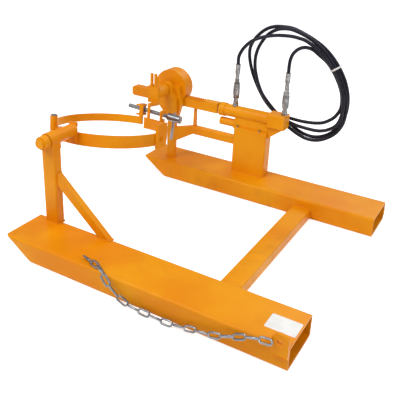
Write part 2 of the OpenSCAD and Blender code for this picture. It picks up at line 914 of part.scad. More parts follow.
near_pocket();
far_pocket();
near_nose();
far_nose();
cross_member();
near_post();
near_brace();
near_bearing();
near_bush();
far_post();
post_stay();
far_bearing();
far_bush();
case_bracket();
gear_case();
case_cover();
case_bolts();
rack_shoe();
cylinder_post();
tie_bar();
rack_rest();
cylinder_saddle();
saddle_bolts();
cylinder_barrel();
cylinder_head();
head_seal();
end_cap();
port_adapters();
rack();
piston_rod();
piston();
near_hanger();
far_hanger();
yoke_bolt();
near_shaft();
near_collar();
far_shaft();
pinion();
pinion_nut();
rear_band();
steady_plate();
steady_bolt();
clamp_bracket();
hinge_ears();
hinge_pin();
gate_band();
gate_knuckle();
gate_lugs();
swivel_nut();
clamp_screw();
screw_handle();
chain_lugs();
safety_chain();
hose_fittings();
hose_a();
hose_b();
hose_coil();
hose_tails();
hose_couplings();
hose_clip();
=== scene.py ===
"""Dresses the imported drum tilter: studio, finishes, hoses, chain, welds and small fittings."""

import json
import logging
import math
from dataclasses import dataclass, field
from enum import Enum
from typing import ClassVar

import bmesh
import bpy
from mathutils import Matrix, Vector

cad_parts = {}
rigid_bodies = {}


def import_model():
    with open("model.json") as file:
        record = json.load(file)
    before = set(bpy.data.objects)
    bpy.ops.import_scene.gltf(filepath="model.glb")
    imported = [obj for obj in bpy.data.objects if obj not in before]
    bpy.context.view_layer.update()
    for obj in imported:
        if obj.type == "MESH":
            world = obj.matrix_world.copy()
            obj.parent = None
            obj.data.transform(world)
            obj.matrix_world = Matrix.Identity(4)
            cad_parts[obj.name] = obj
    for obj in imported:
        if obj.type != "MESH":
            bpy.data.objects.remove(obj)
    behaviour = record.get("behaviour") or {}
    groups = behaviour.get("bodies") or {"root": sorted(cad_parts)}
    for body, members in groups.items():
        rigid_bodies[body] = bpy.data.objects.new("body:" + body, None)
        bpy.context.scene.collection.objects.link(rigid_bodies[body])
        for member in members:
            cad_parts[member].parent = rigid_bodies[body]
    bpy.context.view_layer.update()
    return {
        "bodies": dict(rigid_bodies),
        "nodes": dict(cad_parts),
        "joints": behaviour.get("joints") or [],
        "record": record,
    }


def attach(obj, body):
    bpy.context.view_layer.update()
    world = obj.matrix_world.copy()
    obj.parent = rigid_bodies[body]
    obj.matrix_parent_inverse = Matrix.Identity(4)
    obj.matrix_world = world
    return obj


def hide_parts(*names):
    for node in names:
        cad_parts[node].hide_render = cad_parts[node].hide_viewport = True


LOG = logging.getLogger("tilter")

MM_PER_METRE = 1000

Tree = bpy.types.NodeTree
Node = bpy.types.Node
Socket = bpy.types.NodeSocket
Point = tuple[float, float, float]
Tone = tuple[float, float, float]
Span = tuple[float, float]
Footprint = tuple[float, float, float, float]
Face = tuple[int, ...]
Outline = list[tuple[float, float]]


class Body(str, Enum):
    """Rigid bodies that the scene's own pieces ride on."""

    FRAME = "frame"
    CRADLE = "cradle"
    SCREW = "screw"


class Slot(str, Enum):
    """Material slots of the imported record."""

    PAINT = "paint"
    ZINC = "zinc_steel"
    BARE = "bare_steel"
    CHROME = "chrome_rod"
    BRONZE = "bronze"
    SEAL = "seal"
    HOSE = "hose_rubber"


# ---------------------------------------------------------------- node helpers

COLOUR, VALUE, VECTOR = "NodeSocketColor", "NodeSocketFloat", "NodeSocketVector"
WHITE = (1, 1, 1, 1)

# Places of the sockets that a Mix node uses for colours.
MIX_SHARE, MIX_FIRST, MIX_SECOND, MIX_RESULT = 0, 6, 7, 2


def new_node(tree: Tree, kind: str, **values: object) -> Node:
    """Adds a node and sets its inputs.

    Args:
        tree: Node tree that receives the node.
        kind: Blender's node type name.
        values: Input names with spaces written as underscores, and their values.

    Returns:
        The new node.
    """
    node = tree.nodes.new(kind)
    for name, value in values.items():
        node.inputs[name.replace("_", " ")].default_value = value
    return node


def feed(tree: Tree, value: object, socket: Socket) -> None:
    """Gives an input its value.

    Args:
        tree: Node tree that holds the input.
        value: Socket to link, or number or colour to set.
        socket: The input.
    """
    if isinstance(value, Socket):
        tree.links.new(value, socket)
    else:
        socket.default_value = value


def math_node(tree: Tree, operation: str, *values: object) -> Socket:
    """Joins values with a Math node.

    Args:
        tree: Node tree that receives the node.
        operation: Name of the operation.
        values: Sockets or numbers, as many as the operation reads.

    Returns:
        The result socket.
    """
    node = tree.nodes.new("ShaderNodeMath")
    node.operation = operation
    for socket, value in zip(node.inputs, values):
        feed(tree, value, socket)
    return node.outputs[0]


def ramp(tree: Tree, value: Socket, limits: Span) -> Socket:
    """Turns a value into a soft 0 to 1 mask between two limits.

    Args:
        tree: Node tree that receives the node.
        value: Socket to read.
        limits: Value that becomes 0 and value that becomes 1.

    Returns:
        The mask socket.
    """
    node = new_node(tree, "ShaderNodeMapRange", From_Min=limits[0], From_Max=limits[1])
    node.interpolation_type = "SMOOTHSTEP"
    tree.links.new(value, node.inputs["Value"])
    return node.outputs["Result"]


def mix_colour(tree: Tree, mask: object, first: object, second: object) -> Socket:
    """Mixes two colours by a mask.

    Args:
        tree: Node tree that receives the node.
        mask: Socket or number for the share of the second colour.
        first: First colour, socket or RGBA.
        second: Second colour, socket or RGBA.

    Returns:
        The colour socket.
    """
    node = tree.nodes.new("ShaderNodeMix")
    node.data_type = "RGBA"
    for place, value in ((MIX_SHARE, mask), (MIX_FIRST, first), (MIX_SECOND, second)):
        feed(tree, value, node.inputs[place])
    return node.outputs[MIX_RESULT]


def object_noise(tree: Tree, **values: object) -> Node:
    """Adds a noise that stays with the object.

    Args:
        tree: Node tree that receives the noise.
        values: Input names with spaces written as underscores, and their values.

    Returns:
        The noise node.
    """
    place = tree.nodes.new("ShaderNodeTexCoord")
    noise = new_node(tree, "ShaderNodeTexNoise", **values)
    tree.links.new(place.outputs["Object"], noise.inputs["Vector"])
    return noise


# ---------------------------------------------------------------- shared effects


@dataclass
class Effect:
    """A shared surface effect, built once as a node group."""

    name: str
    inputs: tuple[tuple[str, str, object], ...]
    outputs: tuple[tuple[str, str], ...]

    def group(self) -> Tree:
        """Finds the effect's node group, and builds it the first time.

        Returns:
            The node group.
        """
        found = bpy.data.node_groups.get(self.name)
        if found:
            return found
        tree = bpy.data.node_groups.new(self.name, "ShaderNodeTree")
        for label, kind, value in self.inputs:
            made = tree.interface.new_socket(name=label, in_out="INPUT", socket_type=kind)
            made.default_value = value
        for label, kind in self.outputs:
            tree.interface.new_socket(name=label, in_out="OUTPUT", socket_type=kind)
        self.build(tree, tree.nodes.new("NodeGroupInput"), tree.nodes.new("NodeGroupOutput"))
        return tree

    def build(self, tree: Tree, given: Node, result: Node) -> None:
        """Fills the group; each effect does this in its own way."""
        raise NotImplementedError

    def place(self, tree: Tree, **values: object) -> Node:
        """Puts the effect into a material.

        Args:
            tree: The material's node tree.
            values: Input names with spaces as underscores; sockets are linked, numbers are set.

        Returns:
            The group node.
        """
        node = tree.nodes.new("ShaderNodeGroup")
        node.node_tree = self.group()
        for name, value in values.items():
            feed(tree, value, node.inputs[name.replace("_", " ")])
        return node


class ColourDrift(Effect):
    """Slow change of tone over a sprayed or plated surface."""

    cloud_limits: ClassVar[Span] = (0.36, 0.68)

    def build(self, tree: Tree, given: Node, result: Node) -> None:
        """Mixes towards the second tone in wide soft clouds.

        Args:
            tree: The group's node tree.
            given: Node with the group's inputs.
            result: Node that takes the group's outputs.
        """
        cloud = object_noise(tree, Detail=3.0, Roughness=0.55)
        tree.links.new(given.outputs["Scale"], cloud.inputs["Scale"])
        mask = ramp(tree, cloud.outputs[0], self.cloud_limits)
        share = math_node(tree, "MULTIPLY", mask, given.outputs["Amount"])
        mixed = mix_colour(tree, share, given.outputs["Colour"], given.outputs["Second"])
        tree.links.new(mixed, result.inputs["Colour"])


class EdgeWear(Effect):
    """Paint rubbed through on outer edges, broken up by noise."""

    bevel_samples: ClassVar[int] = 6
    edge_limits: ClassVar[Span] = (0.995, 0.86)
    chip_limits: ClassVar[Span] = (0.52, 0.66)

    def build(self, tree: Tree, given: Node, result: Node) -> None:
        """Finds edges from the bent normal and chips them.

        Args:
            tree: The group's node tree.
            given: Node with the group's inputs.
            result: Node that takes the group's outputs.
        """
        face = tree.nodes.new("ShaderNodeNewGeometry")
        bent = tree.nodes.new("ShaderNodeBevel")
        bent.samples = self.bevel_samples
        tree.links.new(given.outputs["Reach"], bent.inputs["Radius"])
        dot = tree.nodes.new("ShaderNodeVectorMath")
        dot.operation = "DOT_PRODUCT"
        tree.links.new(bent.outputs[0], dot.inputs[0])
        tree.links.new(face.outputs["Normal"], dot.inputs[1])
        edge = ramp(tree, dot.outputs["Value"], self.edge_limits)
        chips = object_noise(tree, Scale=46.0, Detail=6.0, Roughness=0.7)
        broken = ramp(tree, chips.outputs[0], self.chip_limits)
        both = math_node(tree, "MULTIPLY", edge, broken)
        mask = math_node(tree, "MULTIPLY", both, given.outputs["Amount"])
        mixed = mix_colour(tree, mask, given.outputs["Colour"], given.outputs["Worn"])
        tree.links.new(mixed, result.inputs["Colour"])


class LowPatchDarkening(Effect):
    """Darker, duller colour towards the bottom of each object and in soft patches."""

    floor_limits: ClassVar[Span] = (0.10, 0.0)
    patch_limits: ClassVar[Span] = (0.5, 0.74)
    floor_share: ClassVar[float] = 0.7
    general_share: ClassVar[float] = 0.3

    def build(self, tree: Tree, given: Node, result: Node) -> None:
        """Darkens low and patchy areas.

        Args:
            tree: The group's node tree.
            given: Node with the group's inputs.
            result: Node that takes the group's outputs.
        """
        place = tree.nodes.new("ShaderNodeTexCoord")
        split = tree.nodes.new("ShaderNodeSeparateXYZ")
        tree.links.new(place.outputs["Object"], split.inputs[0])
        low = ramp(tree, split.outputs["Z"], self.floor_limits)
        patch = object_noise(tree, Scale=7.0, Detail=7.0, Roughness=0.65)
        spots = ramp(tree, patch.outputs[0], self.patch_limits)
        reach = math_node(tree, "ADD", math_node(tree, "MULTIPLY", low, self.floor_share),
                          self.general_share)
        both = math_node(tree, "MULTIPLY", spots, reach)
        mask = math_node(tree, "MULTIPLY", both, given.outputs["Amount"])
        tree.links.new(mask, result.inputs["Mask"])
        mixed = mix_colour(tree, mask, given.outputs["Colour"], given.outputs["Darkening"])
        tree.links.new(mixed, result.inputs["Colour"])


class FineRelief(Effect):
    """Height of a fine surface: orange peel, plating grain or turned marks."""

    noise_detail: ClassVar[float] = 2.0

    def build(self, tree: Tree, given: Node, result: Node) -> None:
        """Adds a rounded noise and a stretched noise.

        Args:
            tree: The group's node tree.
            given: Node with the group's inputs.
            result: Node that takes the group's outputs.
        """
        place = tree.nodes.new("ShaderNodeTexCoord")
        stretch = tree.nodes.new("ShaderNodeVectorMath")
        stretch.operation = "MULTIPLY"
        tree.links.new(place.outputs["Object"], stretch.inputs[0])
        tree.links.new(given.outputs["Stretch"], stretch.inputs[1])
        heights = []
        for vector, scale, share in (
            (place.outputs["Object"], "Peel Scale", "Peel"),
            (stretch.outputs[0], "Grain Scale", "Grain"),
        ):
            noise = new_node(tree, "ShaderNodeTexNoise", Detail=self.noise_detail)
            tree.links.new(vector, noise.inputs["Vector"])
            tree.links.new(given.outputs[scale], noise.inputs["Scale"])
            heights.append(math_node(tree, "MULTIPLY", noise.outputs[0], given.outputs[share]))
        tree.links.new(math_node(tree, "ADD", *heights), result.inputs["Height"])


DRIFT = ColourDrift(
    "colour_drift",
    (("Colour", COLOUR, WHITE), ("Second", COLOUR, WHITE), ("Scale", VALUE, 3.0),
     ("Amount", VALUE, 0.5)),
    (("Colour", COLOUR),))
WEAR = EdgeWear(
    "edge_wear",
    (("Colour", COLOUR, WHITE), ("Worn", COLOUR, WHITE), ("Reach", VALUE, 0.003),
     ("Amount", VALUE, 0.5)),
    (("Colour", COLOUR),))
# Darkens the colour towards the bottom of each object, below 0.10 m, and in soft noise patches.
LOW_PATCH_DARKENING = LowPatchDarkening(
    "low_patch_darkening",
    (("Colour", COLOUR, WHITE), ("Darkening", COLOUR, WHITE), ("Amount", VALUE, 0.5)),
    (("Colour", COLOUR), ("Mask", VALUE)))
RELIEF = FineRelief(
    "fine_relief",
    (("Peel", VALUE, 1.0), ("Peel Scale", VALUE, 300.0), ("Grain", VALUE, 0.0),
     ("Grain Scale", VALUE, 200.0), ("Stretch", VECTOR, (1, 1, 1))),
    (("Height", VALUE),))


# ---------------------------------------------------------------- finishes

COAT_ROUGHNESS = 0.08
# Roughness added where the colour is darkened towards the bottom and in patches.
DARKENING_DULLING = 0.35


@dataclass(frozen=True)
class Finish:
    """One surface finish, from its plain values to its material."""

    name: str
    colour: Tone
    second: Tone
    roughness: float
    metallic: float = 0.0
    coat: float = 0.0
    specular: float = 0.5
    drift: float = 0.5
    drift_scale: float = 3.0
    worn: Tone = (0.2, 0.12, 0.06)
    wear: float = 0.0
    # Share and colour of the darkening towards the bottom of the object and in soft patches.
    darkening: float = 0.0
    darkening_colour: Tone = (0.12, 0.07, 0.035)
    peel: float = 1.0
    peel_scale: float = 300.0
    grain: float = 0.0
    grain_scale: float = 200.0
    stretch: Point = (1.0, 1.0, 1.0)
    bump: float = 0.0003

    def material(self) -> bpy.types.Material:
        """Finds the finish's material, and builds it the first time.

        Returns:
            The material.
        """
        found = bpy.data.materials.get(self.name)
        if found:
            return found
        made = bpy.data.materials.new(self.name)
        made.use_nodes = True
        tree = made.node_tree
        tree.nodes.clear()
        shader = new_node(tree, "ShaderNodeBsdfPrincipled", Metallic=self.metallic,
                          Coat_Weight=self.coat, Coat_Roughness=COAT_ROUGHNESS,
                          Specular_IOR_Level=self.specular)
        out = tree.nodes.new("ShaderNodeOutputMaterial")
        tree.links.new(shader.outputs[0], out.inputs["Surface"])
        drift = DRIFT.place(tree, Colour=(*self.colour, 1), Second=(*self.second, 1),
                            Scale=self.drift_scale, Amount=self.drift)
        # Darkens the colour towards the bottom of the object and in soft patches.
        darkening = LOW_PATCH_DARKENING.place(tree, Colour=drift.outputs["Colour"], Darkening=(*self.darkening_colour, 1),
                          Amount=self.darkening)
        colour = darkening.outputs["Colour"]
        rough = math_node(tree, "MULTIPLY_ADD", darkening.outputs["Mask"], DARKENING_DULLING, self.roughness)
        if self.wear:
            wear = WEAR.place(tree, Colour=colour, Worn=(*self.worn, 1), Amount=self.wear)
            colour = wear.outputs["Colour"]
        tree.links.new(colour, shader.inputs["Base Color"])
        tree.links.new(rough, shader.inputs["Roughness"])
        relief = RELIEF.place(tree, Peel=self.peel, Peel_Scale=self.peel_scale, Grain=self.grain,
                              Grain_Scale=self.grain_scale, Stretch=self.stretch)
        bump = new_node(tree, "ShaderNodeBump", Strength=1.0, Distance=self.bump)
        tree.links.new(relief.outputs["Height"], bump.inputs["Height"])
        tree.links.new(bump.outputs[0], shader.inputs["Normal"])
        return made


MACHINE_PAINT = Finish(
    "machine_paint", (0.77, 0.240, 0.001), (0.83, 0.330, 0.004), 0.36, coat=0.04, specular=0.12,
    drift=0.9, drift_scale=2.6, worn=(0.36, 0.085, 0.01), wear=0.7, darkening=0.28,
    darkening_colour=(0.16, 0.055, 0.012), peel_scale=420.0, bump=0.00022)
WELD_PAINT = Finish(
    "weld_paint", (0.72, 0.205, 0.001), (0.80, 0.28, 0.003), 0.38, coat=0.04, specular=0.12,
    drift=0.8, drift_scale=9.0, darkening=0.5, darkening_colour=(0.16, 0.055, 0.012), peel_scale=700.0,
    bump=0.0003)
ZINC_PLATE = Finish(
    "zinc_plate", (0.33, 0.335, 0.345), (0.19, 0.20, 0.225), 0.30, metallic=1.0, drift=0.9,
    drift_scale=26.0, darkening=0.45, darkening_colour=(0.10, 0.085, 0.07), peel=0.5, peel_scale=900.0,
    bump=0.0001)
FITTING_STEEL = Finish(
    "fitting_steel", (0.34, 0.34, 0.335), (0.15, 0.15, 0.155), 0.26, metallic=1.0, drift=0.95,
    drift_scale=38.0, darkening=0.5, darkening_colour=(0.07, 0.05, 0.04), peel=0.4, peel_scale=900.0,
    grain=0.4, grain_scale=60.0, stretch=(1, 1, 25), bump=0.0001)
BARE_STEEL = Finish(
    "bare_steel", (0.55, 0.54, 0.52), (0.36, 0.35, 0.33), 0.32, metallic=1.0, drift=0.7,
    drift_scale=14.0, peel=0.2, grain=1.0, grain_scale=60.0, stretch=(1, 30, 1), bump=0.00012)
CHROMED_ROD = Finish(
    "chromed_rod", (0.72, 0.72, 0.73), (0.66, 0.66, 0.67), 0.12, metallic=1.0, drift=0.5,
    drift_scale=6.0, peel=0.1, grain=0.6, grain_scale=80.0, stretch=(25, 1, 1), bump=0.00004)
BEARING_BRONZE = Finish(
    "bearing_bronze", (0.50, 0.32, 0.12), (0.36, 0.21, 0.08), 0.38, metallic=1.0, drift=0.8,
    drift_scale=25.0, peel=0.4, grain=0.8, grain_scale=70.0, stretch=(1, 20, 1), bump=0.0001)
BLACK_SEAL = Finish(
    "black_seal", (0.02, 0.02, 0.02), (0.035, 0.034, 0.032), 0.55, drift=0.6, drift_scale=30.0,
    peel_scale=1200.0, bump=0.0001)
HOSE_COVER = Finish(
    "hose_cover", (0.007, 0.006, 0.014), (0.017, 0.015, 0.030), 0.40, specular=0.22, drift=0.6,
    drift_scale=18.0, darkening=0.12, darkening_colour=(0.03, 0.028, 0.03), peel=0.6, peel_scale=1600.0,
    bump=0.0002)
BLANK_FOIL = Finish(
    "blank_foil", (0.80, 0.80, 0.78), (0.70, 0.69, 0.66), 0.4, coat=0.3, drift=0.6,
    drift_scale=20.0, darkening=0.3, darkening_colour=(0.4, 0.34, 0.26), peel=0.5, peel_scale=500.0,
    bump=0.00008)
WHITE_NYLON = Finish(
    "white_nylon", (0.78, 0.78, 0.75), (0.66, 0.66, 0.62), 0.45, drift=0.5, drift_scale=30.0,
    peel=0.5, peel_scale=1500.0, bump=0.0001)

FINISH_OF_NODE = {
    "hose_fittings": FITTING_STEEL,
    "hose_couplings": FITTING_STEEL,
    "port_adapters": FITTING_STEEL,
}

FINISH_OF_SLOT = {
    Slot.PAINT: MACHINE_PAINT,
    Slot.ZINC: ZINC_PLATE,
    Slot.BARE: BARE_STEEL,
    Slot.CHROME: CHROMED_ROD,
    Slot.BRONZE: BEARING_BRONZE,
    Slot.SEAL: BLACK_SEAL,
    Slot.HOSE: HOSE_COVER,
}


# ---------------------------------------------------------------- mesh helpers

TINY = 1e-6


def smooth_line(points: list[Point], steps: int) -> list[Vector]:
    """Runs a Catmull-Rom curve through points.

    Args:
        points: Points to pass through, in metres.
        steps: Samples between two points.

    Returns:
        The samples along the curve.
    """
    given = [Vector(p) for p in points]
    last = len(given) - 1
    line = []
    for i in range(last):
        a, b, c, d = (given[max(0, min(last, i + k))] for k in (-1, 0, 1, 2))
        for s in range(steps):
            t = s / steps
            line.append(0.5 * (2 * b + (c - a) * t + (2 * a - 5 * b + 4 * c - d) * t * t
                               + (3 * b - a - 3 * c + d) * t ** 3))
    line.append(given[-1])
    return line


def sweep(line: list[Vector], outlines: list[Outline], up: Vector,
          closed: bool = False) -> tuple[list[Vector], list[Face]]:
    """Sweeps a changing outline along a line.

    Args:
        line: Centre line in metres.
        outlines: One outline of (side, up) offsets for each point, all equally long.
        up: Direction that the outline's second axis leans to.
        closed: Whether the sweep joins its start.

    Returns:
        Vertices and faces.
    """
    verts: list[Vector] = []
    faces: list[Face] = []
    n, m = len(line), len(outlines[0])
    for i, point in enumerate(line):
        before = line[(i - 1) % n] if closed else line[max(0, i - 1)]
        after = line[(i + 1) % n] if closed else line[min(n - 1, i + 1)]
        along = (after - before).normalized()
        side = along.cross(up)
        if side.length < TINY:
            side = along.cross(Vector((1, 0, 0)))
        side.normalize()
        top = side.cross(along)
        verts += [point + side * a + top * b for a, b in outlines[i]]
    for i in range(n if closed else n - 1):
        j = (i + 1) % n
        for k in range(m):
            w = (k + 1) % m
            faces.append((i * m + k, i * m + w, j * m + w, j * m + k))
    if not closed:
        faces.append(tuple(range(m)))
        faces.append(tuple(range((n - 1) * m, n * m)))
    return verts, faces


def circle_outline(radius: float, sides: int) -> Outline:
    """Returns the offsets of a round section's corners."""
    turns = [2 * math.pi * k / sides for k in range(sides)]
    return [(radius * math.cos(a), radius * math.sin(a)) for a in turns]


@dataclass
class Pile:
    """Collects the vertices and faces of a piece made of one or more forms."""

    verts: list[Vector] = field(default_factory=list)
    faces: list[Face] = field(default_factory=list)

    def add(self, verts: list[Vector], faces: list[Face]) -> None:
        """Adds one form to the pile.

        Args:
            verts: Vertices in metres.
            faces: Vertex indices of each face.
        """
        start = len(self.verts)
        self.verts += verts
        self.faces += [tuple(start + k for k in face) for face in faces]

    def piece(self, name: str, finish: Finish, body: Body,
              smooth: bool = True) -> bpy.types.Object:
        """Makes the piece and sets what it rides on.

        Args:
            name: Name of the piece.
            finish: Its finish.
            body: Body that carries it.
            smooth: Whether its faces are shaded smooth.

        Returns:
            The piece.
        """
        mesh = bpy.data.meshes.new(name)
        mesh.from_pydata([tuple(v) for v in self.verts], [], self.faces)
        work = bmesh.new()
        work.from_mesh(mesh)
        bmesh.ops.recalc_face_normals(work, faces=work.faces)
        work.to_mesh(mesh)
        work.free()
        for polygon in mesh.polygons:
            polygon.use_smooth = smooth
        mesh.materials.append(finish.material())
        made = bpy.data.objects.new(name, mesh)
        bpy.context.scene.collection.objects.link(made)
        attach(made, body.value)
        return made


@dataclass
class RingFrame:
    """Placement of what is drawn about the leaning ring's centre, with angles in degrees."""

    centre: Point = (-0.506, 0.0, 0.464)
    lean: float = 9.3
    rise: float = 3.0

    def matrix(self) -> Matrix:
        """Works out the ring's placement.

        Returns:
            The turn and shift from ring to frame.
        """
        rise = Matrix.Rotation(math.radians(-self.rise), 4, "Y")
        lean = Matrix.Rotation(math.radians(-self.lean), 4, "X")
        return Matrix.Translation(self.centre) @ (rise @ lean)


# ---------------------------------------------------------------- studio


@dataclass(frozen=True)
class Lamp:
    """One soft area lamp with a square face."""

    name: str
    place: Point
    size: float
    power: float

    def hang(self, aim: Point) -> None:
        """Hangs the lamp.

        Args:
            aim: Point that it shines at.
        """
        data = bpy.data.lights.new(self.name, "AREA")
        data.size = self.size
        data.energy = self.power
        made = bpy.data.objects.new(self.name, data)
        bpy.context.scene.collection.objects.link(made)
        ray = Vector(aim) - Vector(self.place)
        turn = ray.to_track_quat("-Z", "Y").to_matrix().to_4x4()
        made.matrix_world = Matrix.Translation(self.place) @ turn


@dataclass
class Studio:
    """Camera of the photograph, pale floor and soft lamps."""

    eye: Point = (1.31385, -2.32773, 1.56848)
    right: Point = (0.85861, 0.51145, 0.03469)
    up: Point = (-0.22688, 0.31845, 0.92039)
    ahead: Point = (-0.45969, 0.79813, -0.38946)
    focal: float = 54.074
    sensor: float = 36.0
    shift: Span = (0.025, -0.125)
    sight: float = 60.0
    floor_size: float = 30.0
    floor_level: float = -0.0002
    floor_colour: tuple[float, float, float, float] = (0.86, 0.86, 0.86, 1)
    floor_roughness: float = 0.85
    floor_glow: float = 0.62
    world_light: float = 0.45
    aim: Point = (0.0, 0.0, 0.3)
    lamps: tuple[Lamp, ...] = (
        Lamp("key_lamp", (-1.5, -2.5, 4.2), 2.6, 130.0),
        Lamp("fill_lamp", (3.6, -1.2, 2.6), 3.0, 50.0),
        Lamp("back_lamp", (0.5, 3.8, 3.4), 2.6, 60.0))

    def camera(self) -> None:
        """Creates the camera at the photograph's place."""
        data = bpy.data.cameras.new("photo_camera")
        data.lens = self.focal
        data.sensor_width = self.sensor
        data.shift_x, data.shift_y = self.shift
        data.clip_end = self.sight
        made = bpy.data.objects.new("photo_camera", data)
        bpy.context.scene.collection.objects.link(made)
        columns = (self.right, self.up, tuple(-v for v in self.ahead))
        turn = Matrix(columns).transposed().to_4x4()
        made.matrix_world = Matrix.Translation(self.eye) @ turn
        bpy.context.scene.camera = made

    def pale_material(self) -> bpy.types.Material:
        """Builds the floor's finish, which shows as near white but keeps shadows.

        Returns:
            The material.
        """
        made = bpy.data.materials.new("pale_floor")
        made.use_nodes = True
        tree = made.node_tree
        shader = tree.nodes["Principled BSDF"]
        shader.inputs["Base Color"].default_value = self.floor_colour
        shader.inputs["Roughness"].default_value = self.floor_roughness
        shader.inputs["Emission Color"].default_value = WHITE
        rays = tree.nodes.new("ShaderNodeLightPath").outputs
        seen = math_node(tree, "MAXIMUM", rays["Is Camera Ray"], rays["Is Glossy Ray"])
        glow = math_node(tree, "MULTIPLY", seen, self.floor_glow)
        tree.links.new(glow, shader.inputs["Emission Strength"])
        return made

    def floor(self) -> None:
        """Lays the floor under the part."""
        bpy.ops.mesh.primitive_plane_add(size=self.floor_size, location=(0, 0, self.floor_level))
        made = bpy.context.object
        made.name = "floor"
        made.data.materials.append(self.pale_material())

    def world(self) -> None:
        """Sets the surroundings, which are white to look at and softer as a light."""
        world = bpy.data.worlds.new("surroundings")
        bpy.context.scene.world = world
        world.use_nodes = True
        tree = world.node_tree
        back = tree.nodes["Background"]
        back.inputs["Color"].default_value = WHITE
        rays = tree.nodes.new("ShaderNodeLightPath").outputs
        seen = math_node(tree, "MAXIMUM", rays["Is Camera Ray"], rays["Is Transmission Ray"])
        strength = math_node(tree, "MULTIPLY_ADD", seen, 1 - self.world_light, self.world_light)
        tree.links.new(strength, back.inputs["Strength"])

    def build(self) -> None:
        """Sets up everything that isn't the part."""
        self.camera()
        self.floor()
        self.world()
        for lamp in self.lamps:
            lamp.hang(self.aim)
        bpy.context.scene.view_settings.view_transform = "Standard"


# ---------------------------------------------------------------- cords


@dataclass
class Loops:
    """Leaning oval that both hoses are wound on, behind the cylinder."""

    centre: Span = (0.238, 0.6495)
    long_half: float = 0.310
    short_half: float = 0.242
    turn: float = -50.0

    def place(self, angle: float, inward: float, depth: float) -> Point:
        """Finds a point of the loops.

        Args:
            angle: Angle round the oval, in degrees.
            inward: Distance inside the oval's middle line, in millimetres.
            depth: Distance across from the middle of the part, in millimetres.

        Returns:
            The point in the frame, in metres.
        """
        a, t = math.radians(angle), math.radians(self.turn)
        x = (self.long_half - inward / MM_PER_METRE) * math.cos(a)
        z = (self.short_half - inward / MM_PER_METRE) * math.sin(a)
        return (self.centre[0] + x * math.cos(t) - z * math.sin(t), depth / MM_PER_METRE,
                self.centre[1] + x * math.sin(t) + z * math.cos(t))

    def heading(self, angle: float) -> Point:
        """Returns the direction, one metre long, in which the loops run at an angle."""
        before, after = (Vector(self.place(angle + k, 0, 0)) for k in (1, -1))
        return tuple((after - before).normalized())


@dataclass
class Hose:
    """One hydraulic hose from its fitting through the tied loops to its coupling."""

    name: str
    loops: Loops
    start: list[Point]
    turns: list[tuple[float, float, float]]
    finish_run: list[Point]
    diameter: float = 0.019
    samples: int = 6
    facets: int = 5

    def route(self) -> list[Point]:
        """Returns the hose's whole run, fitting first."""
        return self.start + [self.loops.place(*row) for row in self.turns] + self.finish_run

    def build(self, hides: tuple[str, ...], coupling: str) -> bpy.types.Object:
        """Makes the hose as one curve.

        Args:
            hides: CAD nodes that it stands for.
            coupling: Name of the CAD node on its end. Not used.

        Returns:
            The hose.
        """
        line = smooth_line(self.route(), self.samples)
        data = bpy.data.curves.new(self.name, "CURVE")
        data.dimensions = "3D"
        data.bevel_depth = self.diameter / 2
        data.bevel_resolution = self.facets
        spline = data.splines.new("POLY")
        spline.points.add(len(line) - 1)
        for point, place in zip(spline.points, line):
            point.co = (*place, 1.0)
        spline.use_smooth = True
        data.materials.append(HOSE_COVER.material())
        made = bpy.data.objects.new(self.name, data)
        bpy.context.scene.collection.objects.link(made)
        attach(made, Body.FRAME.value)
        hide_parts(*hides)
        return made


